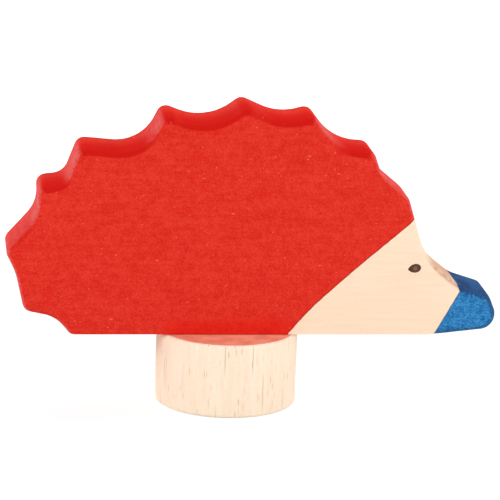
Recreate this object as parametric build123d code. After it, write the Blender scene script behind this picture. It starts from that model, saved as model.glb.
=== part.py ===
from build123d import *
import os

# A flat wooden hedgehog on a round peg. The board is sawn to the outline of the animal and sanded round
# at its edges. It stands on a turned peg, and a fluted dowel in blind sockets lines the two up and holds
# them. Sizes are in millimetres. The origin is the middle of the foot of the peg, +X points to the nose,
# -Y is the face that looks at the viewer, and +Z is up.

# Peg
PEG_DIAMETER = 20.0
PEG_HEIGHT = 10.6
PEG_EDGE_CHAMFER = 0.5
PEG_FLOOR = 4.0

# Board
BOARD_THICKNESS = 9.0
EDGE_ROUND = 0.9

# Dowel and its sockets
DOWEL_DIAMETER = 5.0
DOWEL_CHAMFER = 0.6
FLUTE_COUNT = 12
FLUTE_RADIUS = 0.45
FLUTE_DEPTH = 0.25
BOARD_SOCKET_DEPTH = 9.0
GLUE_GAP = 0.05
SOCKET_END_ROOM = 0.4


# The quill tips, as x along the board and z above the belly, from the heel at the rear of the belly, up
# the tail and over the back, down to the last one above the forehead
QUILL_TIPS = [
    (-22.5, 0.0),
    (-28.95, 3.35),
    (-31.7, 11.95),
    (-27.3, 21.1),
    (-21.45, 26.65),
    (-9.85, 31.55),
    (1.3, 32.65),
    (10.85, 31.4),
    (19.5, 26.35),
    (24.7, 19.65),
]
TIP_ROUND = 1.4

# The hollow from each tip to the next: the corner that its two flanks aim at, and the radius that a
# sanding drum left in that corner
HOLLOW_CORNERS = [
    (-24.6, 2.45),
    (-30.1, 8.7),
    (-26.95, 17.25),
    (-23.4, 21.55),
    (-12.55, 25.9),
    (-3.5, 29.05),
    (6.75, 30.2),
    (14.5, 26.65),
    (20.65, 23.0),
]
HOLLOW_ROUNDS = [4.4, 8.8, 4.9, 2.3, 5.8, 7.8, 7.8, 7.2, 4.3]

# The face, from the hollow of the forehead below the last quill to the chin
FOREHEAD = (27.45, 10.9)
NOSE_BRIDGE = (32.15, 7.25)
NOSE_TOP = (36.7, 5.8)
NOSE_TIP = (38.7, 1.0)
CHIN = (29.8, 0.0)
FOREHEAD_ROUND = 10.5
NOSE_BRIDGE_ROUND = 3.9
NOSE_TOP_ROUND = 1.4
NOSE_TIP_ROUND = 2.2
CHIN_ROUND = 8.0


def round_corner(sketch, point, radius):
    """The sketch with its corner at a point rounded."""
    corner = sketch.vertices().sort_by_distance(Vector(*point))[0]
    return fillet(corner, radius)


def make_outline():
    """The outline of the hedgehog as a face, with the belly on the x axis."""
    corners = [(QUILL_TIPS[0], TIP_ROUND)]
    for hollow, hollow_round, tip in zip(HOLLOW_CORNERS, HOLLOW_ROUNDS, QUILL_TIPS[1:]):
        corners += [(hollow, hollow_round), (tip, TIP_ROUND)]
    corners += [
        (FOREHEAD, FOREHEAD_ROUND),
        (NOSE_BRIDGE, NOSE_BRIDGE_ROUND),
        (NOSE_TOP, NOSE_TOP_ROUND),
        (NOSE_TIP, NOSE_TIP_ROUND),
        (CHIN, CHIN_ROUND),
    ]
    outline = make_face(Polyline(*(point for point, _ in corners), close=True))
    for point, radius in corners:
        outline = round_corner(outline, point, radius)
    return outline


def make_socket(depth):
    """The hole for one end of the dowel, from the joint upwards."""
    radius = DOWEL_DIAMETER / 2 + GLUE_GAP
    return Cylinder(radius, depth, align=(Align.CENTER, Align.CENTER, Align.MIN))


def make_board():
    """The sawn board, sanded round along the edges of both faces, with its socket in the belly."""
    slab = extrude(Plane.XZ * make_outline(), BOARD_THICKNESS / 2, both=True)
    faces = slab.faces().filter_by(Axis.Y)
    slab = fillet(faces.edges(), EDGE_ROUND)
    return Pos(0, 0, PEG_HEIGHT) * (slab - make_socket(BOARD_SOCKET_DEPTH))


def make_peg():
    """The turned peg with its edges eased and its socket in the top."""
    peg = Cylinder(PEG_DIAMETER / 2, PEG_HEIGHT, align=(Align.CENTER, Align.CENTER, Align.MIN))
    peg = chamfer(peg.edges().filter_by(GeomType.CIRCLE), PEG_EDGE_CHAMFER)
    return peg - Pos(0, 0, PEG_FLOOR) * make_socket(PEG_HEIGHT - PEG_FLOOR)


def make_dowel():
    """The fluted dowel, seated in both sockets with a little room at its ends."""
    radius = DOWEL_DIAMETER / 2
    length = BOARD_SOCKET_DEPTH + PEG_HEIGHT - PEG_FLOOR - 2 * SOCKET_END_ROOM
    flutes = PolarLocations(radius + FLUTE_RADIUS - FLUTE_DEPTH, FLUTE_COUNT) * Circle(FLUTE_RADIUS)
    fluted = extrude(Circle(radius) - flutes, length)
    blank = Cylinder(radius, length, align=(Align.CENTER, Align.CENTER, Align.MIN))
    blank = chamfer(blank.edges().filter_by(GeomType.CIRCLE), DOWEL_CHAMFER)
    return Pos(0, 0, PEG_FLOOR + SOCKET_END_ROOM) * (fluted & blank)


os.makedirs("parts", exist_ok=True)
export_step(make_board(), "parts/hedgehog_board.step")
export_step(make_peg(), "parts/base_peg.step")
export_step(make_dowel(), "parts/joining_dowel.step")
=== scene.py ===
"""A flat wooden hedgehog on a round peg: a sawn and sanded board with red and blue glaze, and a bare peg.

Lengths are metres in meshes and millimetres in the named sizes of finishes. The frame's origin is the
middle of the peg's foot, +X points to the nose, -Y is the face that the camera sees and +Z is up.
"""

import logging
import math
from dataclasses import dataclass
from enum import Enum
from typing import Any

import bmesh
import bpy
from bpy.types import Material, Mesh, Node, NodeSocket, NodeTree, Object
from mathutils import Matrix, Vector


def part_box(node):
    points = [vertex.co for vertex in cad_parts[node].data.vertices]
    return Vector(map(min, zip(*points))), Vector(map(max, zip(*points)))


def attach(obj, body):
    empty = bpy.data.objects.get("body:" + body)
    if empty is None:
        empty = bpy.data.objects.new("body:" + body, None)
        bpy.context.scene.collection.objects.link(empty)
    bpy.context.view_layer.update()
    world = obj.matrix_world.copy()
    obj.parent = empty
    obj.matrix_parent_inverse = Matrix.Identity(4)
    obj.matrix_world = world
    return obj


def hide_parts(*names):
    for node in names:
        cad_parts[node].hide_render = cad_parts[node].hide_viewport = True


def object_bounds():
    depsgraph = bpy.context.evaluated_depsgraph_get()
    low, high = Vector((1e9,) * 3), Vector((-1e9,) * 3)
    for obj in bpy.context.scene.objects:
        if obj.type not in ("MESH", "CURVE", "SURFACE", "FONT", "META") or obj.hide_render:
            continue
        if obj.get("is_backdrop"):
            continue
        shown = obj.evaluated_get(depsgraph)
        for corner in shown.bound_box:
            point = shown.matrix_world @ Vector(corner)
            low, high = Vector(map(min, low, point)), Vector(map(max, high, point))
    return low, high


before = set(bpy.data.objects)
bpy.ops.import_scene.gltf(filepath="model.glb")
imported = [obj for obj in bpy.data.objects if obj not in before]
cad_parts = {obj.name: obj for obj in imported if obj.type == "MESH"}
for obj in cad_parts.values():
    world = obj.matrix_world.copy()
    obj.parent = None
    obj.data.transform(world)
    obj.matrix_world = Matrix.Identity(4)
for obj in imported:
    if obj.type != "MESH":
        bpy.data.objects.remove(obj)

LOG = logging.getLogger("hedgehog")
MM = 0.001
CAD_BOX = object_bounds()
SOFT_NORMAL = "soft_normal"

# Types of node that are used often
MATH = "ShaderNodeMath"
VECTOR_MATH = "ShaderNodeVectorMath"
STEP = "ShaderNodeMapRange"
MIX = "ShaderNodeMix"
NOISE = "ShaderNodeTexNoise"
SPLIT = "ShaderNodeSeparateXYZ"
POSITION = "GeometryNodeInputPosition"
SET_POSITION = "GeometryNodeSetPosition"

# Settings that all nodes of a type have here
SETTINGS = {STEP: {"interpolation_type": "SMOOTHSTEP"}, MIX: {"data_type": "RGBA"}}

# The colour inputs of a Mix node, by number because its other inputs have the same names
UNDER = 6
OVER = 7

# Where a step is 0 and where it is 1, or the two levels that it goes between
Span = tuple[float, float]

# Sizes that a geometry tree takes, by the names of its inputs
Sizes = dict[str, float | int]


class Grain(Enum):
    """The way that the fibres of a piece of wood run."""

    ALONG_X = 0
    ALONG_Y = 1
    ALONG_Z = 2


class Side(Enum):
    """The two broad faces of the board, by the sign of their outward Y."""

    FRONT = -1
    BACK = 1


class Pattern(Enum):
    """The patterns that the tones of wood and glaze are mixed from."""

    FIBRE = "fibre"
    BAND = "band"
    CLOUD = "cloud"
    BLOTCH = "blotch"
    SPECK = "speck"
    GRIT = "grit"
    SAW = "saw"
    WAVER = "waver"


# Patterns with their shares
Recipe = tuple[tuple[Pattern, float], ...]


def linear(colour: str) -> tuple[float, float, float, float]:
    """Turns an sRGB hex colour into linear light.

    Args:
        colour: A colour such as "#e23328".

    Returns:
        Red, green, blue and full alpha.
    """
    channels = [int(colour[i : i + 2], 16) / 255 for i in (1, 3, 5)]
    light = [c / 12.92 if c <= 0.04045 else ((c + 0.055) / 1.055) ** 2.4 for c in channels]
    return (*light, 1.0)


def add(tree: Any, kind: str, inputs: list | tuple | dict = (), **settings: Any) -> Any:
    """Adds a node with its settings, and sets or links its inputs.

    Args:
        tree: The node tree that takes the node.
        kind: The node's type.
        inputs: Values, hex colours, sockets or nodes, in order or by the input's name or number. A node
            stands for its first output that is in use.
        settings: Properties of the node, besides those of its type.

    Returns:
        The new node.
    """
    node = tree.nodes.new(kind)
    for name, value in {**SETTINGS.get(kind, {}), **settings}.items():
        setattr(node, name, value)
    for key, value in inputs.items() if isinstance(inputs, dict) else enumerate(inputs):
        socket = node.inputs[key]
        if isinstance(value, Node):
            value = next(output for output in value.outputs if output.enabled)
        if isinstance(value, NodeSocket):
            tree.links.new(value, socket)
        else:
            is_hex = socket.type == "RGBA" and isinstance(value, str)
            socket.default_value = linear(value) if is_hex else value
    return node


def product(tree: Any, *factors: Any) -> Any:
    """Multiplies any number of factors.

    Args:
        tree: The node tree.
        factors: Nodes, sockets or numbers.

    Returns:
        The node of the result.
    """
    result = factors[0]
    for factor in factors[1:]:
        result = add(tree, MATH, [result, factor], operation="MULTIPLY")
    return result


def weighted_sum(tree: Any, base: Any, *parts: tuple[Any, Any]) -> Any:
    """Adds shares of several values to a base.

    Args:
        tree: The node tree.
        base: What the shares are added to.
        parts: Each value with its share.

    Returns:
        The node of the result.
    """
    for value, share in parts:
        base = add(tree, MATH, [value, share, base], operation="MULTIPLY_ADD")
    return base


def painted(tree: Any, ground: Any, *layers: tuple[Any, Any]) -> Any:
    """Lays colours over each other, as coats of paint.

    Args:
        tree: The node tree.
        ground: The lowest colour.
        layers: How much of a coat shows, with its colour, from the lowest up.

    Returns:
        The node of the result.
    """
    for amount, colour in layers:
        ground = add(tree, MIX, {0: amount, UNDER: ground, OVER: colour})
    return ground


def seen_directly(tree: Any) -> Any:
    """Tells what the camera sees, also in gloss and through glass, from other light.

    Args:
        tree: The node tree of a material or the world.

    Returns:
        A node that is 1 for what is seen and 0 for other light.
    """
    path = add(tree, "ShaderNodeLightPath").outputs
    seen = path["Is Camera Ray"]
    for ray in ("Is Glossy Ray", "Is Transmission Ray"):
        seen = add(tree, MATH, [seen, path[ray]], operation="MAXIMUM")
    return seen


def new_object(name: str, data: Any) -> Object:
    """Puts a mesh, a light or a camera into the scene, at the origin.

    Args:
        name: The object's name.
        data: Its mesh, light or camera.

    Returns:
        The object.
    """
    piece = bpy.data.objects.new(name, data)
    bpy.context.scene.collection.objects.link(piece)
    return piece


def apply_modifiers(piece: Object) -> None:
    """Makes a piece's modifiers part of its mesh and takes them off.

    Args:
        piece: The object.
    """
    graph = bpy.context.evaluated_depsgraph_get()
    result = bpy.data.meshes.new_from_object(piece.evaluated_get(graph))
    piece.modifiers.clear()
    piece.data = result


def new_geometry_tree(name: str, sizes: Sizes) -> tuple[Any, Any]:
    """Starts a geometry tree with a mesh input, named size inputs and a mesh output.

    Args:
        name: The tree's name.
        sizes: The sizes that it takes. A whole number makes an integer input.

    Returns:
        The tree and the output sockets of its group input.
    """
    tree = bpy.data.node_groups.new(name, "GeometryNodeTree")
    tree.interface.new_socket("Geometry", in_out="INPUT", socket_type="NodeSocketGeometry")
    for label, size in sizes.items():
        kind = "NodeSocketInt" if isinstance(size, int) else "NodeSocketFloat"
        tree.interface.new_socket(label, in_out="INPUT", socket_type=kind)
    tree.interface.new_socket("Geometry", in_out="OUTPUT", socket_type="NodeSocketGeometry")
    return tree, add(tree, "NodeGroupInput").outputs


def close_geometry_tree(tree: Any, geometry: Any, material: Material) -> None:
    """Ends a geometry tree in Realize Instances, Set Material and the output.

    Args:
        tree: The tree.
        geometry: The node of the finished shape.
        material: The material of the shape.
    """
    real = add(tree, "GeometryNodeRealizeInstances", {"Geometry": geometry})
    dressed = add(tree, "GeometryNodeSetMaterial", {"Geometry": real, "Material": material})
    add(tree, "NodeGroupOutput", {"Geometry": dressed})


def run_tree(piece: Object, tree: Any, sizes: Sizes) -> None:
    """Runs a geometry tree on a piece and keeps the result as its plain mesh.

    Args:
        piece: The object whose mesh goes in.
        tree: The geometry tree.
        sizes: Values of the tree's inputs, by name.
    """
    modifier = piece.modifiers.new(tree.name, "NODES")
    modifier.node_group = tree
    for item in tree.interface.items_tree:
        if item.item_type == "SOCKET" and item.in_out == "INPUT" and item.name in sizes:
            modifier[item.identifier] = sizes[item.name]
    apply_modifiers(piece)


def shade(piece: Object, sharp_angle: float = 180.0) -> None:
    """Shades a piece smooth, apart from its sharp edges.

    Args:
        piece: The object.
        sharp_angle: Degrees between faces from which an edge is sharp. At 180 no edge is.
    """
    piece.data.polygons.foreach_set("use_smooth", [True] * len(piece.data.polygons))
    piece.data.set_sharp_from_angle(angle=math.radians(sharp_angle))


def clean_mesh(mesh: Mesh, weld: float) -> None:
    """Joins points that lie together and turns all faces outwards.

    Args:
        mesh: The mesh.
        weld: The largest distance between points that are joined.
    """
    shape = bmesh.new()
    shape.from_mesh(mesh)
    bmesh.ops.remove_doubles(shape, verts=shape.verts, dist=weld)
    bmesh.ops.recalc_face_normals(shape, faces=shape.faces)
    shape.to_mesh(mesh)
    shape.free()


@dataclass(frozen=True)
class Streaks:
    """A pattern of soft streaks in millimetres, or of blotches where it is as wide as long."""

    pattern: Pattern
    length: float
    width: float
    grain: Grain = Grain.ALONG_X
    contrast: Span = (0.34, 0.66)


@dataclass(frozen=True)
class Marks:
    """Separate marks along the grain, in millimetres.

    The spacing is the distance between neighbouring places for a mark, as a multiple of its size, and
    the share is how many of those places hold one. Faint is the strength of the faintest mark. The soft
    edge and the bend are multiples of a mark's size, and a higher falloff makes more marks faint.
    """

    length: float
    width: float
    spacing: float
    share: float
    faint: float
    grain: Grain = Grain.ALONG_X
    edge: Span = (0.5, 0.2)
    bend: float = 0.6
    falloff: float = 4.0


class Finish:
    """A material's tree with its millimetre coordinates and its patterns."""

    def __init__(self, name: str, rows: tuple[Streaks, ...] = ()) -> None:
        """Starts a material.

        Args:
            name: The material's name.
            rows: The patterns that it is mixed from.
        """
        self.material = bpy.data.materials.new(name)
        self.material.use_nodes = True
        self.tree = self.material.node_tree
        self.tree.nodes.clear()
        places = add(self.tree, "ShaderNodeTexCoord").outputs
        self.normal = places["Normal"]
        to_mm = {0: places["Object"], "Scale": 1 / MM}
        self.mm = add(self.tree, VECTOR_MATH, to_mm, operation="SCALE")
        self.x, self.y, self.z = add(self.tree, SPLIT, [self.mm]).outputs
        self.patterns = {row.pattern: self.streaks(row) for row in rows}

    def stretched(self, row: Streaks | Marks, spacing: float = 1.0) -> Any:
        """Coordinates that grow by one over the length of a streak or mark, and across over its width.

        Args:
            row: The sizes and the grain.
            spacing: A multiple of the sizes.

        Returns:
            The node of the vector.
        """
        scale = [1 / (row.width * spacing)] * 3
        scale[row.grain.value] = 1 / (row.length * spacing)
        return add(self.tree, VECTOR_MATH, [self.mm, scale], operation="MULTIPLY")

    def streaks(self, row: Streaks) -> Any:
        """Soft streaks or blotches.

        Args:
            row: Their sizes.

        Returns:
            A node from 0 to 1.
        """
        noise = add(self.tree, NOISE, {"Vector": self.stretched(row), "Scale": 1.0})
        return add(self.tree, STEP, [noise, *row.contrast])

    def tone(self, recipe: Recipe, base: float = 0.0) -> Any:
        """Shares of this finish's patterns on top of a base, as a node."""
        return weighted_sum(self.tree, base, *((self.patterns[name], share) for name, share in recipe))

    def flecks(self, marks: Marks) -> Any:
        """Separate marks, bent a little and each of its own strength.

        Args:
            marks: Their sizes and shares.

        Returns:
            A node that is up to 1 on a mark and 0 off it.
        """
        tree = self.tree
        straight = self.stretched(marks, marks.spacing)
        noise = add(tree, NOISE, {"Vector": self.mm, "Scale": 1 / marks.length}).outputs["Color"]
        bend = [marks.bend / marks.spacing] * 3
        bent = add(tree, VECTOR_MATH, [noise, bend, straight], operation="MULTIPLY_ADD")
        cells = add(tree, "ShaderNodeTexVoronoi", {"Vector": bent, "Scale": 1.0}).outputs
        edge = (reach / marks.spacing for reach in marks.edge)
        near = add(tree, STEP, [cells["Distance"], *edge])
        draw, strength, _ = add(tree, "ShaderNodeSeparateColor", [cells["Color"]]).outputs
        chosen = add(tree, MATH, [draw, marks.share], operation="LESS_THAN")
        uneven = add(tree, MATH, [strength, marks.falloff], operation="POWER")
        uneven = weighted_sum(tree, marks.faint, (uneven, 1.0 - marks.faint))
        return product(tree, near, chosen, uneven)

    def close(self, shader: Any) -> Material:
        """Ends the material in a shader and gives it back."""
        add(self.tree, "ShaderNodeOutputMaterial", {"Surface": shader})
        return self.material


@dataclass(frozen=True)
class PaintLine:
    """A straight or bowed edge between two finishes, seen from the front.

    The points are millimetres along the board from the peg's middle and above the belly, in its middle
    plane. The line goes through the board with a slant in millimetres per millimetre.
    """

    points: tuple[tuple[float, float], ...]
    bowed: bool = True
    waver: float = 0.12
    waver_size: float = 1.1
    waver_detail: float = 3.0
    slant: float = 0.0

    def ahead(self, finish: Finish, belly: float) -> Any:
        """How far a place lies towards the nose from the line.

        Args:
            finish: The finish whose tree takes the nodes.
            belly: Height of the belly in millimetres.

        Returns:
            A node in millimetres.
        """
        tree = finish.tree
        top = self.points[-1][1]
        start = min(along for along, _ in self.points)
        reach = max(along for along, _ in self.points) - start
        above = add(tree, MATH, [finish.z, belly], operation="SUBTRACT")
        height = add(tree, MATH, [above, top], operation="DIVIDE")
        curve = add(tree, "ShaderNodeFloatCurve", {"Value": height})
        handles = curve.mapping.curves[0].points
        for _, up in self.points[1:-1]:
            handles.new(up / top, 0.0)
        for handle, (along, up) in zip(handles, self.points):
            handle.location = (up / top, (along - start) / reach)
            handle.handle_type = "AUTO" if self.bowed else "VECTOR"
        curve.mapping.extend = "HORIZONTAL"
        curve.mapping.update()
        line = weighted_sum(tree, start, (curve, reach), (finish.y, -self.slant))
        noise_inputs = {"Vector": finish.mm, "Scale": 1 / self.waver_size, "Detail": self.waver_detail}
        noise = add(tree, NOISE, noise_inputs)
        shake = weighted_sum(tree, -self.waver, (noise, 2 * self.waver))
        past = add(tree, MATH, [finish.x, line], operation="SUBTRACT")
        return add(tree, MATH, [past, shake], operation="ADD")


@dataclass(frozen=True)
class Wood:
    """What bare and glazed wood share: the gloss, and the relief of the grain in millimetres."""

    ior: float = 1.48
    specular: float = 0.3
    bump_strength: float = 0.5
    bump_depth: float = 0.04

    def close(self, finish: Finish, colour: Any, rough: Any, height: Any) -> Material:
        """Ends a finish in the shader of wood.

        Args:
            finish: The finish.
            colour: The node of its colour.
            rough: The node of its roughness.
            height: The node of its relief.

        Returns:
            The material.
        """
        bump_inputs = {"Height": height, "Strength": self.bump_strength, "Distance": self.bump_depth * MM}
        inputs = {
            "Base Color": colour,
            "Roughness": rough,
            "IOR": self.ior,
            "Specular IOR Level": self.specular,
            "Normal": add(finish.tree, "ShaderNodeBump", bump_inputs),
        }
        return finish.close(add(finish.tree, "ShaderNodeBsdfPrincipled", inputs))


@dataclass(frozen=True, kw_only=True)
class GlazedLimewood(Wood):
    """Sawn and sanded limewood with thin water glaze on its back and nose.

    Lime is pale and even, so the bare face hardly shows its grain. The glaze soaks in unevenly: it is
    cloudy and finely mottled, pores stay as light flecks, and it dries to a dark line at its border. The
    cut ends of the fibres look chalky, with painted sheen on them. Painted shade deepens the red on the
    rounded edges that face up and along the rear of the walls, and over the peg the glaze ran thicker,
    with painted light that brightens it.
    """

    # Height of the belly, and distance of the broad faces from the middle plane, in millimetres
    belly: float
    half: float

    bare: str = "#fbe2c9"
    bare_streak: str = "#f8d7b4"
    # A darker tan on the snout's top edges
    snout_tan: str = "#ca9d84"
    red_thick: str = "#d31f15"
    red_thin: str = "#e23f30"
    # Painted shade: a deeper red on the rounded edges that face up, near the faces
    red_painted_shade: str = "#cb1913"
    # Paler pink of the cut ends: chalky end grain, with painted sheen and highlight
    red_chalk_and_sheen: str = "#d6615f"
    # The dried line at the glaze's border, and painted shade along the rear of the walls
    red_border_and_rear_shade: str = "#a8120c"
    # Over the peg: glaze that ran thicker, with painted light that brightens it
    red_run_and_painted_light: str = "#e4180f"
    fleck: str = "#f6a48c"
    blue_thick: str = "#125493"
    blue_thin: str = "#4395ce"
    # The dried line at the blue's border, and its darker edges: soaked glaze with painted shade
    blue_deep: str = "#2b4069"

    # Where the glazes end, and the steps over the distance from those lines
    back_line: PaintLine = PaintLine(
        ((8.05, 0.0), (11.7, 4.2), (14.4, 6.8), (18.05, 10.15), (21.67, 13.3), (26.4, 17.5))
    )
    nose_line: PaintLine = PaintLine(
        ((28.77, 0.0), (32.19, 6.35), (31.9, 7.2)), bowed=False, waver=0.07, slant=0.03
    )
    line_blur: Span = (-0.05, 0.05)
    red_border: Span = (-0.36, -0.08)
    red_border_share: float = 0.85
    blue_border: Span = (0.25, 0.06)
    blue_border_share: float = 0.7

    # Specks, grit and pores are finer in real wood, and are drawn as coarse as they need to be to show
    patterns: tuple[Streaks, ...] = (
        Streaks(Pattern.FIBRE, 7.0, 0.55),
        Streaks(Pattern.CLOUD, 2.4, 2.4),
        Streaks(Pattern.BLOTCH, 0.8, 0.8),
        Streaks(Pattern.SPECK, 0.28, 0.28),
        Streaks(Pattern.GRIT, 0.36, 0.2),
        Streaks(Pattern.SAW, 5.0, 0.5, Grain.ALONG_Y),
    )
    pores: Marks = Marks(0.24, 0.22, 3.8, 0.36, 0.1)
    vessels: Marks = Marks(0.65, 0.22, 3.2, 0.06, 0.1)
    fleck_share: float = 0.85
    bare_tone: Recipe = ((Pattern.FIBRE, 0.35), (Pattern.SPECK, 0.3))
    red_tone: Recipe = (
        (Pattern.CLOUD, 0.09), (Pattern.BLOTCH, 0.28), (Pattern.FIBRE, 0.18), (Pattern.SPECK, 0.45)
    )
    blue_tone: Recipe = ((Pattern.BLOTCH, 0.3), (Pattern.GRIT, 0.45), (Pattern.SPECK, 0.25))
    # Chalky end grain with painted sheen, strongest near the front
    chalk_and_sheen_least: float = 0.2
    chalk_and_sheen_tone: Recipe = ((Pattern.SPECK, 0.4), (Pattern.SAW, 0.35), (Pattern.BLOTCH, 0.3))
    chalk_and_sheen_at_rear: float = 0.35
    tan_least: float = 0.7
    tan_tone: Recipe = ((Pattern.SAW, 0.3),)
    soak_least: float = 0.7
    soak_tone: Recipe = ((Pattern.CLOUD, 0.3),)
    relief: Recipe = ((Pattern.SPECK, 0.5), (Pattern.FIBRE, 0.5))

    # Steps over parts of the soft normal, across the board, upwards and along it, with their shares
    edge: Span = (0.999, 0.97)
    wall: Span = (0.88, 0.55)
    wall_middle: Span = (0.05, 0.25)
    upward: Span = (0.05, 0.2)
    end_lean: Span = (0.3, 0.85)
    tail_lean: Span = (-1.0, -0.5)
    nose_lean: Span = (0.75, 0.2)
    tan_edge: Span = (0.95, 0.72)
    soak_edge: Span = (1.02, 0.93)
    soak_grit: float = 0.1
    # Painted shade on the blue edges that face up
    upward_shade_steps: Span = (-0.1, 0.35)
    upward_shade_share: Span = (0.5, 1.0)
    # Share of the painted shade on the rounded edges that face up
    painted_shade_share: float = 0.95

    # Steps over places in millimetres, in from the faces, along and up the board, with their shares
    front_insets: Span = (0.5, 1.0)
    # Painted shade along the rear of the walls
    rear_shade_insets: Span = (1.9, 1.0)
    rear_shade_share: Span = (0.0, 0.55)
    tan_along: Span = (26.6, 29.2)
    tan_share: Span = (0.1, 1.0)
    # Where the glaze ran thicker over the peg, with painted light
    run_height: Span = (2.8, 1.4)
    run_along: Span = (10.5, 8.5)
    run_and_light_share: float = 0.4

    roughness: float = 0.6
    rough_blotch: float = 0.1
    rough_bare: float = 0.05
    rough_edge: float = 0.3
    specular: float = 0.03
    bump_depth: float = 0.03

    def make(self) -> Material:
        """Builds the material.

        Returns:
            The material for the whole board.
        """
        surface = BoardFinish(self)
        tree = surface.tree
        is_bare = add(tree, STEP, [surface.past_back, *self.line_blur])
        is_blue = add(tree, STEP, [surface.past_nose, *self.line_blur])
        colour = painted(
            tree, surface.red_colour(), (is_bare, surface.bare_colour()), (is_blue, surface.blue_colour())
        )
        rough = weighted_sum(
            tree,
            self.roughness,
            (surface.patterns[Pattern.BLOTCH], self.rough_blotch),
            (is_bare, self.rough_bare),
            (surface.upper_edge, self.rough_edge),
        )
        return self.close(surface, colour, rough, surface.tone(self.relief))


class BoardFinish(Finish):
    """The board's finish, with the ways that a place on the board faces and where it lies."""

    def __init__(self, wood: GlazedLimewood) -> None:
        """Starts the material.

        Args:
            wood: The sizes and looks of the board.
        """
        super().__init__("glazed_limewood", wood.patterns)
        self.wood = wood
        tree = self.tree
        self.past_back = wood.back_line.ahead(self, wood.belly)
        self.past_nose = wood.nose_line.ahead(self, wood.belly)
        soft_normal = add(tree, "ShaderNodeAttribute", attribute_name=SOFT_NORMAL).outputs["Vector"]
        along, aside, self.up = add(tree, SPLIT, [soft_normal]).outputs
        self.across = add(tree, MATH, [aside], operation="ABSOLUTE")
        on_edge = add(tree, STEP, [self.across, *wood.edge])
        self.on_top = add(tree, STEP, [self.up, *wood.upward])
        self.on_wall = add(tree, STEP, [self.across, *wood.wall])
        turned = add(tree, MATH, [along, self.up], operation="ARCTAN2")
        lean = add(tree, MATH, [turned], operation="SINE")
        steepness = add(tree, MATH, [lean], operation="ABSOLUTE")
        steep = add(tree, STEP, [steepness, *wood.end_lean])
        self.on_end = product(tree, steep, self.on_wall)
        rear_inset, front_inset = wood.front_insets
        self.from_front = add(tree, STEP, [self.y, wood.half - rear_inset, front_inset - wood.half])
        off_middle = add(tree, STEP, [self.across, *wood.wall_middle])
        # Rounded edges that face up: painted shade deepens the red there, and the glaze is rougher
        shade_reach = add(tree, MATH, [self.from_front, off_middle], operation="MAXIMUM")
        before_tail = add(tree, STEP, [lean, *wood.tail_lean])
        before_nose = add(tree, STEP, [lean, *wood.nose_lean])
        self.upper_edge = product(tree, self.on_top, on_edge, shade_reach, before_tail, before_nose)

    def bare_colour(self) -> Any:
        """The bare wood, with a darker tan on its top edges towards the nose.

        Returns:
            The node of the colour.
        """
        wood, tree = self.wood, self.tree
        near_nose = add(tree, STEP, [self.x, *wood.tan_along, *wood.tan_share])
        off_face = add(tree, STEP, [self.across, *wood.tan_edge])
        # A darker tan, streaked like the saw marks
        sawn = self.tone(wood.tan_tone, wood.tan_least)
        tan_amount = product(tree, near_nose, self.on_top, off_face, sawn)
        grain = self.tone(wood.bare_tone)
        return painted(tree, wood.bare, (grain, wood.bare_streak), (tan_amount, wood.snout_tan))

    def red_colour(self) -> Any:
        """The red glaze of the coat, with painted shade, painted sheen and painted light laid into it.

        Returns:
            The node of the colour.
        """
        wood, tree = self.wood, self.tree
        # Chalky end grain with painted sheen and highlight, strongest near the front
        near_front = weighted_sum(tree, wood.chalk_and_sheen_at_rear, (self.from_front, 1.0 - wood.chalk_and_sheen_at_rear))
        chalk_and_sheen = product(tree, self.tone(wood.chalk_and_sheen_tone, wood.chalk_and_sheen_least), near_front, self.on_end)
        # Painted shade on the rounded edges that face up
        painted_shade = product(tree, self.upper_edge, wood.painted_shade_share)
        # Painted shade along the rear of the walls
        rear = (wood.half - inset for inset in wood.rear_shade_insets)
        at_rear = add(tree, STEP, [self.y, *rear, *wood.rear_shade_share])
        rim = product(tree, at_rear, self.on_wall)
        # Glaze that ran thicker over the peg, with painted light that brightens it
        heights = (wood.belly + height for height in wood.run_height)
        low_down = add(tree, STEP, [self.z, *heights])
        aside = add(tree, MATH, [self.x], operation="ABSOLUTE")
        over_peg = add(tree, STEP, [aside, *wood.run_along])
        run_and_painted_light = product(tree, low_down, over_peg, wood.run_and_light_share)
        pores = self.flecks(wood.pores)
        vessels = self.flecks(wood.vessels)
        flecks = add(tree, MATH, [pores, vessels], operation="MAXIMUM")
        border = add(tree, STEP, [self.past_back, *wood.red_border])
        return painted(
            tree,
            wood.red_thick,
            (self.tone(wood.red_tone), wood.red_thin),
            (chalk_and_sheen, wood.red_chalk_and_sheen),
            (painted_shade, wood.red_painted_shade),
            (rim, wood.red_border_and_rear_shade),
            (run_and_painted_light, wood.red_run_and_painted_light),
            (product(tree, flecks, wood.fleck_share), wood.fleck),
            (product(tree, border, wood.red_border_share), wood.red_border_and_rear_shade),
        )

    def blue_colour(self) -> Any:
        """The nose's blue glaze, soaked in darker at the edges, with painted shade where they face up.

        Returns:
            The node of the colour.
        """
        wood, tree = self.wood, self.tree
        ragged = weighted_sum(tree, self.across, (self.patterns[Pattern.GRIT], wood.soak_grit))
        off_face = add(tree, STEP, [ragged, *wood.soak_edge])
        # Painted shade on the edges that face up
        upward_shade = add(tree, STEP, [self.up, *wood.upward_shade_steps, *wood.upward_shade_share])
        soaked = product(tree, off_face, self.tone(wood.soak_tone, wood.soak_least), upward_shade)
        border = add(tree, STEP, [self.past_nose, *wood.blue_border])
        return painted(
            tree,
            wood.blue_thick,
            (self.tone(wood.blue_tone), wood.blue_thin),
            (soaked, wood.blue_deep),
            (product(tree, border, wood.blue_border_share), wood.blue_deep),
        )


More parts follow.
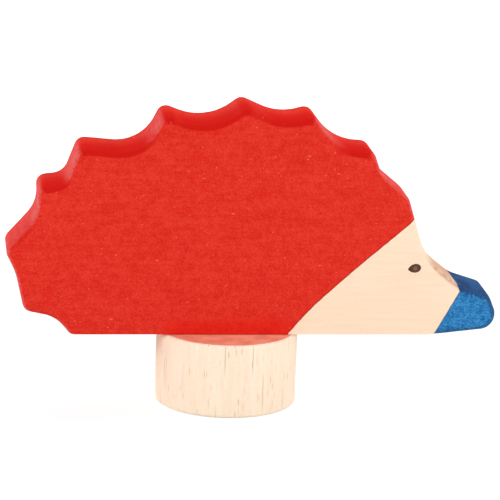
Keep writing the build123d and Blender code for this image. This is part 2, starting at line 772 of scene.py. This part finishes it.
@dataclass(frozen=True, kw_only=True)
class TurnedBeech(Wood):
    """Bare turned beech: pale, with the short brown dashes of its rays and pores along the grain.

    The flat top took up a little red glaze when the board was glued on.
    """

    # Height of the stained top in millimetres
    top: float

    pale: str = "#feeed9"
    streak: str = "#f9e2c6"
    ray: str = "#c08858"
    pore: str = "#d6a678"
    stain: str = "#fbaa8f"
    stain_rim: str = "#e08068"

    # Pores and rays are finer in real beech, and are drawn as coarse as they need to be to show
    patterns: tuple[Streaks, ...] = (
        Streaks(Pattern.BAND, 30.0, 2.2, Grain.ALONG_Z),
        Streaks(Pattern.FIBRE, 5.0, 0.35, Grain.ALONG_Z),
        Streaks(Pattern.SPECK, 0.4, 0.4, Grain.ALONG_Z),
        Streaks(Pattern.WAVER, 0.6, 0.6, Grain.ALONG_Z),
        Streaks(Pattern.CLOUD, 2.2, 2.2, Grain.ALONG_Z),
    )
    pores: Marks = Marks(1.6, 0.2, 1.9, 0.7, 0.45, Grain.ALONG_Z)
    rays: Marks = Marks(8.0, 0.24, 1.9, 0.6, 0.5, Grain.ALONG_Z)
    pore_share: float = 0.75
    ray_share: float = 0.85
    wood_tone: Recipe = ((Pattern.FIBRE, 0.35), (Pattern.BAND, 0.35), (Pattern.SPECK, 0.3))
    stain_tone: Recipe = ((Pattern.CLOUD, 0.6),)

    # Steps over the upward part of the normal, with a little waver, and down from the top in millimetres
    rim_upward: Span = (0.92, 0.96)
    stain_upward: Span = (0.96, 1.0)
    stain_waver: float = 0.03
    stain_depths: Span = (0.4, 0.2)

    roughness: float = 0.6
    rough_marks: float = 0.1
    relief: float = 0.4

    def make(self) -> Material:
        """Builds the material.

        Returns:
            The material of the peg and the dowel.
        """
        finish = Finish("turned_beech", self.patterns)
        tree = finish.tree
        pores = finish.flecks(self.pores)
        rays = finish.flecks(self.rays)
        up = add(tree, SPLIT, [finish.normal]).outputs["Z"]
        up = weighted_sum(tree, up, (finish.patterns[Pattern.WAVER], self.stain_waver))
        near_top = add(tree, STEP, [finish.z, *(self.top - depth for depth in self.stain_depths)])
        on_rim = add(tree, STEP, [up, *self.rim_upward])
        on_flat = add(tree, STEP, [up, *self.stain_upward])
        patchy = painted(tree, self.stain, (finish.tone(self.stain_tone), self.stain_rim))
        colour = painted(
            tree,
            self.pale,
            (finish.tone(self.wood_tone), self.streak),
            (product(tree, pores, self.pore_share), self.pore),
            (product(tree, rays, self.ray_share), self.ray),
            (product(tree, on_rim, near_top), self.stain_rim),
            (product(tree, on_flat, near_top), patchy),
        )
        marks = add(tree, MATH, [pores, rays], operation="MAXIMUM")
        height = weighted_sum(tree, 0.0, (finish.patterns[Pattern.FIBRE], self.relief), (marks, -self.relief))
        rough = weighted_sum(tree, self.roughness, (marks, self.rough_marks))
        return self.close(finish, colour, rough, height)


@dataclass(frozen=True)
class EyeInk:
    """Dark brown ink, dabbed on: darkest where it dried at the rim, thinner in the middle."""

    # Middle of the thin patch along X and Z, and width of the eye, in millimetres
    centre: tuple[float, float]
    size: float

    rim: str = "#4b2c1d"
    middle: str = "#815543"
    grain: float = 0.25
    grain_detail: float = 3.0
    grain_share: float = 0.6
    thin_reach: Span = (0.2, 0.46)
    roughness: float = 0.5
    specular: float = 0.25

    def make(self) -> Material:
        """Builds the material.

        Returns:
            The material of both eyes.
        """
        finish = Finish("eye_ink")
        tree = finish.tree
        aside = add(tree, MATH, [finish.x, self.centre[0]], operation="SUBTRACT")
        up = add(tree, MATH, [finish.z, self.centre[1]], operation="SUBTRACT")
        squares = weighted_sum(tree, 0.0, (aside, aside), (up, up))
        away = add(tree, MATH, [squares], operation="SQRT")
        noise_inputs = {"Vector": finish.mm, "Scale": 1 / self.grain, "Detail": self.grain_detail}
        away = weighted_sum(tree, away, (add(tree, NOISE, noise_inputs), self.grain_share))
        thick = add(tree, STEP, [away, *(reach * self.size for reach in self.thin_reach)])
        shader_inputs = {
            "Base Color": painted(tree, self.middle, (thick, self.rim)),
            "Roughness": self.roughness,
            "Specular IOR Level": self.specular,
        }
        return finish.close(add(tree, "ShaderNodeBsdfPrincipled", shader_inputs))


@dataclass(frozen=True)
class PaperSheet:
    """A matt white sheet under the object: white to the camera, with the object's soft shadow."""

    white: str = "#f4f4f4"
    shadow_share: float = 0.3
    glow: Span = (0.8, 1.0)
    glow_reach: Span = (45.0, 140.0)

    def make(self) -> Material:
        """Builds the material of the floor.

        Returns:
            The material.
        """
        finish = Finish("paper_sheet")
        tree = finish.tree
        away = add(tree, VECTOR_MATH, [finish.mm], operation="LENGTH")
        matt = add(tree, "ShaderNodeBsdfDiffuse", {"Color": self.white})
        dim = [channel * self.shadow_share for channel in linear(self.white)[:3]]
        dull = add(tree, "ShaderNodeBsdfDiffuse", {"Color": (*dim, 1.0)})
        strength = add(tree, STEP, [away, *self.glow_reach, *self.glow])
        glow = add(tree, "ShaderNodeEmission", {"Strength": strength})
        lit = add(tree, "ShaderNodeAddShader", [dull, glow])
        return finish.close(add(tree, "ShaderNodeMixShader", [seen_directly(tree), matt, lit]))


@dataclass
class Board:
    """The hedgehog itself: the sawn board and the ink eye on each of its faces."""

    voxel: float = 0.27 * MM
    weld: float = 0.002 * MM
    sharp_angle: float = 30.0

    # Uneven sanding, saw marks on the walls, and how far glaze and painted shade spread over the edges
    wave_height: float = 0.05 * MM
    wave_size: float = 7.0 * MM
    saw_height: float = 0.03 * MM
    saw_pitch: float = 0.8 * MM
    saw_stretch: tuple[float, float, float] = (1.0, 0.04, 1.0)
    noise_detail: float = 1.0
    sawn_wall: Span = (0.7, 0.2)
    off_belly: Span = (-0.9, -0.6)
    edge_colour_steps: int = 4

    # The round of the solid's edges, and the stretch of the belly where it is squared
    edge_round: float = 0.9 * MM
    belly_from: Span = (-23.2 * MM, -22.4 * MM)
    belly_to: Span = (30.0 * MM, 28.0 * MM)

    # The eye in millimetres, with its place along the board and above the belly
    eye_place: tuple[float, float] = (25.75, 9.7)
    eye_width: float = 1.85
    eye_height: float = 1.42
    eye_tilt: float = -9.0
    eye_point: float = 0.4
    eye_swell: float = 0.06
    eye_steps: int = 48
    eye_rings: int = 6
    thin_ink_shift: float = 0.1

    def squared_belly(self, tree: Any, source: Any) -> Any:
        """Moves the round edges along the belly out to a nearly square corner, which was hardly sanded.

        Args:
            tree: The geometry tree.
            source: The sockets of its group input.

        Returns:
            The node of the moved board.
        """
        x, y, z = add(tree, SPLIT, [add(tree, POSITION)]).outputs
        inner = add(tree, MATH, [source["Half Thickness"], source["Edge Round"]], operation="SUBTRACT")
        aside = add(tree, MATH, [y], operation="ABSOLUTE")
        out = add(tree, MATH, [aside, inner], operation="SUBTRACT")
        start = add(tree, MATH, [source["Belly"], source["Edge Round"]], operation="ADD")
        down = add(tree, MATH, [start, z], operation="SUBTRACT")
        squares = weighted_sum(tree, 0.0, (down, down), (out, out))
        reach = add(tree, MATH, [squares], operation="SQRT")
        longer = add(tree, MATH, [out, down], operation="MAXIMUM")
        to_corner = add(tree, MATH, [reach, longer], operation="DIVIDE")
        growth = add(tree, MATH, [to_corner, 1.0], operation="SUBTRACT")
        is_out = add(tree, MATH, [out, 0.0], operation="GREATER_THAN")
        is_down = add(tree, MATH, [down, 0.0], operation="GREATER_THAN")
        past_heel = add(tree, STEP, [x, *self.belly_from])
        before_chin = add(tree, STEP, [x, *self.belly_to])
        amount = product(tree, growth, is_out, is_down, past_heel, before_chin)
        side = add(tree, MATH, [y], operation="SIGN")
        push_out = product(tree, out, amount, side)
        push_down = product(tree, down, amount, -1.0)
        offset = add(tree, "ShaderNodeCombineXYZ", {"Y": push_out, "Z": push_down})
        return add(tree, SET_POSITION, {"Geometry": source["Geometry"], "Offset": offset})

    def sanding_tree(self, sizes: Sizes, material: Material) -> NodeTree:
        """A geometry tree that takes a little wood off a board, unevenly, as sanding by hand does.

        Args:
            sizes: The sizes that the tree takes, by name.
            material: The board's material.

        Returns:
            The tree.
        """
        tree, source = new_geometry_tree("hand_sanding", sizes)
        squared = self.squared_belly(tree, source)
        place = add(tree, POSITION)
        normal = add(tree, "GeometryNodeInputNormal")
        wave_scale = add(tree, MATH, [1.0, source["Wave Size"]], operation="DIVIDE")
        wave = add(tree, NOISE, {"Vector": place, "Scale": wave_scale, "Detail": self.noise_detail})
        through = add(tree, VECTOR_MATH, [place, self.saw_stretch], operation="MULTIPLY")
        saw_scale = add(tree, MATH, [1.0, source["Saw Pitch"]], operation="DIVIDE")
        saw = add(tree, NOISE, {"Vector": through, "Scale": saw_scale, "Detail": self.noise_detail})
        _, aside, up = add(tree, SPLIT, [normal]).outputs
        across = add(tree, MATH, [aside], operation="ABSOLUTE")
        on_wall = add(tree, STEP, [across, *self.sawn_wall])
        off_belly = add(tree, STEP, [up, *self.off_belly])
        saw_depth = product(tree, saw, source["Saw Height"], on_wall)
        depth = weighted_sum(tree, saw_depth, (wave, source["Wave Height"]))
        inward = product(tree, depth, off_belly, -1.0)
        offset = add(tree, VECTOR_MATH, {0: normal, "Scale": inward}, operation="SCALE")
        sanded = add(tree, SET_POSITION, {"Geometry": squared, "Offset": offset})
        blur_inputs = {"Value": normal, "Iterations": source["Edge Colour Steps"]}
        soft = add(tree, "GeometryNodeBlurAttribute", blur_inputs, data_type="FLOAT_VECTOR")
        store_inputs = {"Geometry": sanded, "Name": SOFT_NORMAL, "Value": soft}
        stored = add(tree, "GeometryNodeStoreNamedAttribute", store_inputs, data_type="FLOAT_VECTOR")
        close_geometry_tree(tree, stored, material)
        return tree

    def build_board(self, belly: float, half: float, material: Material) -> Object:
        """Makes the board from the shape of its solid, in even small faces, and sands it.

        Args:
            belly: Z of the belly.
            half: Half of the board's thickness.
            material: The board's material.

        Returns:
            The board.
        """
        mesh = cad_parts["hedgehog_board"].data.copy()
        clean_mesh(mesh, self.weld)
        mesh.materials.clear()
        piece = new_object("sanded_board", mesh)
        even = piece.modifiers.new("even_faces", "REMESH")
        even.mode = "VOXEL"
        even.voxel_size = self.voxel
        apply_modifiers(piece)
        sizes = {
            "Wave Height": self.wave_height,
            "Wave Size": self.wave_size,
            "Saw Height": self.saw_height,
            "Saw Pitch": self.saw_pitch,
            "Edge Colour Steps": self.edge_colour_steps,
            "Edge Round": self.edge_round,
            "Half Thickness": half,
            "Belly": belly,
        }
        run_tree(piece, self.sanding_tree(sizes, material), sizes)
        shade(piece, self.sharp_angle)
        return piece

    def eye_outline(self) -> list[Vector]:
        """The rim of an eye about its middle: a drop with its point towards the back.

        Returns:
            Points in the XZ plane, in metres.
        """
        turn = Matrix.Rotation(math.radians(self.eye_tilt), 3, "Y")
        rim = []
        for step in range(self.eye_steps):
            angle = 2 * math.pi * step / self.eye_steps
            along = -math.cos(angle) * self.eye_width / 2
            up = math.sin(angle) * math.sin(angle / 2) ** self.eye_point * self.eye_height / 2
            rim.append(turn @ Vector((along, 0.0, up)) * MM)
        return rim

    def build_eye(self, side: Side, face_y: float, belly: float, material: Material) -> Object:
        """Makes one eye as a low drop of dried ink on a face of the board.

        Args:
            side: The face that it lies on.
            face_y: Y of that face.
            belly: Z of the belly.
            material: The ink.

        Returns:
            The eye.
        """
        centre = Vector((self.eye_place[0] * MM, face_y, belly + self.eye_place[1] * MM))
        out = Vector((0.0, side.value, 0.0))
        outline = self.eye_outline()
        shape = bmesh.new()
        rings = []
        for ring in range(self.eye_rings):
            share = 1.0 - ring / self.eye_rings
            rise = self.eye_swell * MM * math.sqrt(1.0 - share**2)
            rings.append([shape.verts.new(centre + point * share + out * rise) for point in outline])
        crown = shape.verts.new(centre + out * self.eye_swell * MM)
        root = shape.verts.new(centre - out * self.eye_swell * MM)
        for i in range(self.eye_steps):
            j = (i + 1) % self.eye_steps
            for outer, inner in zip(rings, rings[1:]):
                shape.faces.new((outer[i], outer[j], inner[j], inner[i]))
            shape.faces.new((rings[-1][i], rings[-1][j], crown))
            shape.faces.new((rings[0][j], rings[0][i], root))
        bmesh.ops.recalc_face_normals(shape, faces=shape.faces)
        mesh = bpy.data.meshes.new(f"eye_{side.name.lower()}")
        shape.to_mesh(mesh)
        shape.free()
        mesh.materials.append(material)
        piece = new_object(mesh.name, mesh)
        shade(piece)
        return piece

    def dress(self, board: Object, eyes: list[Object]) -> None:
        """Hangs the board and both eyes on the root body, and hides the board's CAD solid.

        Args:
            board: The board.
            eyes: Both eyes.
        """
        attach(board, "root")
        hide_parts("hedgehog_board")
        for eye in eyes:
            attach(eye, "root")

    def build(self) -> list[Object]:
        """Builds and dresses the board and both eyes.

        Returns:
            The pieces.
        """
        low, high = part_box("hedgehog_board")
        belly = low[2]
        glaze = GlazedLimewood(belly=belly / MM, half=high[1] / MM).make()
        board = self.build_board(belly, high[1], glaze)
        along, up = self.eye_place
        ink = EyeInk((along + self.thin_ink_shift, belly / MM + up), self.eye_width).make()
        eyes = []
        for side in Side:
            face_y = (low[1] if side is Side.FRONT else high[1]) - side.value * self.wave_height / 2
            eyes.append(self.build_eye(side, face_y, belly, ink))
        self.dress(board, eyes)
        return [board, *eyes]


@dataclass
class Peg:
    """The turned peg under the belly and the dowel hidden in it."""

    edge_round: float = 0.5 * MM
    round_steps: int = 6
    turns: int = 160
    wall_step: float = 0.35 * MM
    socket_gap: float = 0.08 * MM
    socket_end_room: float = 0.3 * MM
    wear: float = 0.035 * MM
    wear_size: float = 5.0 * MM
    axis_gap: float = 0.001 * MM
    axis_weld: float = 0.003 * MM
    weld: float = 0.01 * MM
    sharp_angle: float = 50.0

    def profile(self, radius: float, height: float, socket: float, floor: float) -> list[Vector]:
        """Half of the peg's section, from the middle of the foot to the middle of the socket's floor.

        Args:
            radius: The peg's radius.
            height: The peg's height.
            socket: Radius of the socket for the dowel.
            floor: Height of the socket's floor.

        Returns:
            Points with the distance from the axis as x and minus the height as y.
        """
        points = [(0.0, 0.0)]
        inner = radius - self.edge_round
        wall = height - 2 * self.edge_round
        quarter = [math.radians(90.0 * step / self.round_steps) for step in range(self.round_steps + 1)]
        for angle in quarter:
            rise = self.edge_round * (1 - math.cos(angle))
            points.append((inner + self.edge_round * math.sin(angle), rise))
        steps = round(wall / self.wall_step)
        for step in range(1, steps):
            points.append((radius, self.edge_round + wall * step / steps))
        for angle in quarter:
            rise = height - self.edge_round + self.edge_round * math.sin(angle)
            points.append((inner + self.edge_round * math.cos(angle), rise))
        points += [(socket, height), (socket, floor), (0.0, floor)]
        return [Vector((out, -up, 0.0)) for out, up in points]

    def turning_tree(self, sizes: Sizes, material: Material) -> NodeTree:
        """A geometry tree that turns a half section about the Z axis and wears it a little.

        Args:
            sizes: The sizes that the tree takes, by name.
            material: The peg's material.

        Returns:
            The tree.
        """
        tree, source = new_geometry_tree("turned_piece", sizes)
        section = add(tree, "GeometryNodeMeshToCurve", {"Mesh": source["Geometry"]})
        circle_inputs = {"Resolution": source["Turns"], "Radius": source["Axis Gap"]}
        circle = add(tree, "GeometryNodeCurvePrimitiveCircle", circle_inputs)
        turned = add(tree, "GeometryNodeCurveToMesh", {"Curve": circle, "Profile Curve": section})
        join_inputs = {"Geometry": turned, "Distance": source["Axis Weld"]}
        joined = add(tree, "GeometryNodeMergeByDistance", join_inputs)
        normal = add(tree, "GeometryNodeInputNormal")
        scale = add(tree, MATH, [1.0, source["Wear Size"]], operation="DIVIDE")
        noise = add(tree, NOISE, {"Vector": add(tree, POSITION), "Scale": scale})
        depth = product(tree, noise, source["Wear"])
        offset = add(tree, VECTOR_MATH, {0: normal, "Scale": depth}, operation="SCALE")
        worn = add(tree, SET_POSITION, {"Geometry": joined, "Offset": offset})
        close_geometry_tree(tree, worn, material)
        return tree

    def build_peg(self, material: Material) -> Object:
        """Turns the peg from its section, with the socket for the dowel.

        Args:
            material: The peg's material.

        Returns:
            The peg.
        """
        _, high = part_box("base_peg")
        dowel_low, dowel_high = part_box("joining_dowel")
        socket = dowel_high[0] + self.socket_gap
        points = self.profile(high[0], high[2], socket, dowel_low[2] - self.socket_end_room)
        mesh = bpy.data.meshes.new("turned_peg")
        mesh.from_pydata(points, [(i, i + 1) for i in range(len(points) - 1)], [])
        peg = new_object("turned_peg", mesh)
        sizes = {
            "Turns": self.turns,
            "Axis Gap": self.axis_gap,
            "Axis Weld": self.axis_weld,
            "Wear": self.wear,
            "Wear Size": self.wear_size,
        }
        run_tree(peg, self.turning_tree(sizes, material), sizes)
        clean_mesh(peg.data, self.weld)
        shade(peg, self.sharp_angle)
        return peg

    def dress(self, peg: Object, dowel: Object, material: Material) -> None:
        """Tells the frame about the peg, and gives the dowel its wood.

        Args:
            peg: The peg.
            dowel: The dowel's own node.
            material: The wood of both.
        """
        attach(peg, "root")
        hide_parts("base_peg")
        dowel.data.materials.clear()
        dowel.data.materials.append(material)

    def build(self) -> list[Object]:
        """Builds and dresses the peg, and dresses the dowel.

        Returns:
            The pieces.
        """
        _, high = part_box("base_peg")
        material = TurnedBeech(top=high[2] / MM).make()
        peg = self.build_peg(material)
        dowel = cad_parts["joining_dowel"]
        self.dress(peg, dowel, material)
        return [peg, dowel]


@dataclass(frozen=True)
class Lamp:
    """A soft lamp that points at the object: degrees from the front and above the floor, and watts."""

    name: str
    turn: float
    lift: float
    power: float


@dataclass
class Studio:
    """The white sheet, the soft lamps and the camera."""

    floor_size: float = 6.0
    azimuth: float = -6.80
    elevation: float = 14.19
    roll: float = 1.87
    distance: float = 0.4
    target: tuple[float, float, float] = (2.94 * MM, 0.0, 21.75 * MM)
    focal_pixels: float = 2839.0
    image_pixels: float = 500.0
    sensor: float = 36.0
    clip_start: float = 0.01
    world_colour: str = "#ffffff"
    world_strength: float = 0.12
    lamp_distance: float = 0.9
    lamp_width: float = 0.6
    lamp_height: float = 0.4
    lamps: tuple[Lamp, ...] = (
        Lamp("front_left_lamp", -45.0, 30.0, 3.4),
        Lamp("front_right_lamp", 45.0, 30.0, 3.45),
        Lamp("left_lamp", -95.0, 22.0, 2.8),
        Lamp("right_lamp", 95.0, 22.0, 3.1),
        Lamp("rear_lamp", 180.0, 62.0, 4.05),
    )

    def build_floor(self) -> None:
        """Lays the white sheet under the peg."""
        half = self.floor_size / 2
        mesh = bpy.data.meshes.new("floor")
        corners = [(-half, -half, 0.0), (half, -half, 0.0), (half, half, 0.0), (-half, half, 0.0)]
        mesh.from_pydata(corners, [], [(0, 1, 2, 3)])
        mesh.materials.append(PaperSheet().make())
        floor = new_object("floor", mesh)
        floor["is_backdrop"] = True

    def toward(self, turn: float, lift: float) -> Vector:
        """The unit vector from the object to a place around it.

        Args:
            turn: Degrees from the front, positive towards the nose.
            lift: Degrees above the floor.

        Returns:
            The direction.
        """
        side, rise = math.radians(turn), math.radians(lift)
        return Vector((math.sin(side) * math.cos(rise), -math.cos(side) * math.cos(rise), math.sin(rise)))

    def build_lamp(self, lamp: Lamp) -> None:
        """Hangs one soft broad lamp that points at the object.

        Args:
            lamp: Its place and power.
        """
        light = bpy.data.lights.new(lamp.name, "AREA")
        light.shape = "RECTANGLE"
        light.size = self.lamp_width
        light.size_y = self.lamp_height
        light.energy = lamp.power
        holder = new_object(lamp.name, light)
        away = self.toward(lamp.turn, lamp.lift)
        place = Vector(self.target) + away * self.lamp_distance
        turn = (-away).to_track_quat("-Z", "Y").to_matrix().to_4x4()
        holder.matrix_world = Matrix.Translation(place) @ turn

    def build_camera(self) -> None:
        """Sets the camera where the photograph was taken from."""
        turn, roll = math.radians(self.azimuth), math.radians(self.roll)
        back = self.toward(self.azimuth, self.elevation)
        level = Vector((math.cos(turn), math.sin(turn), 0.0))
        upright = back.cross(level)
        right = level * math.cos(roll) + upright * math.sin(roll)
        up = upright * math.cos(roll) - level * math.sin(roll)
        lens = bpy.data.cameras.new("camera")
        lens.sensor_width = self.sensor
        lens.lens = self.sensor * self.focal_pixels / self.image_pixels
        lens.clip_start = self.clip_start
        camera = new_object("camera", lens)
        camera.matrix_world = Matrix((right, up, back)).transposed().to_4x4()
        camera.matrix_world.translation = Vector(self.target) + back * self.distance
        bpy.context.scene.camera = camera

    def build_world(self) -> None:
        """Fills the room with faint white light, and shows it as white to the camera."""
        world = bpy.data.worlds.new("soft_room")
        world.use_nodes = True
        tree = world.node_tree
        backdrop = tree.nodes["Background"].inputs
        backdrop["Color"].default_value = linear(self.world_colour)
        faint = self.world_strength
        strength = weighted_sum(tree, faint, (seen_directly(tree), 1.0 - faint))
        tree.links.new(strength.outputs[0], backdrop["Strength"])
        bpy.context.scene.world = world

    def build(self) -> None:
        """Builds the whole studio."""
        self.build_floor()
        for lamp in self.lamps:
            self.build_lamp(lamp)
        self.build_world()
        self.build_camera()
        bpy.context.scene.view_settings.view_transform = "Standard"


def main() -> None:
    """Builds the object and its studio."""
    logging.basicConfig(level=logging.INFO, format="%(name)s: %(message)s")
    pieces = Board().build() + Peg().build()
    for piece in pieces:
        LOG.info("%s: %d faces", piece.name, len(piece.data.polygons))
    Studio().build()
    boxes = {"cad": CAD_BOX, "visual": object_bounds()}
    plain = {name: [[float(v) for v in corner] for corner in box] for name, box in boxes.items()}


if __name__ == "__main__":
    main()
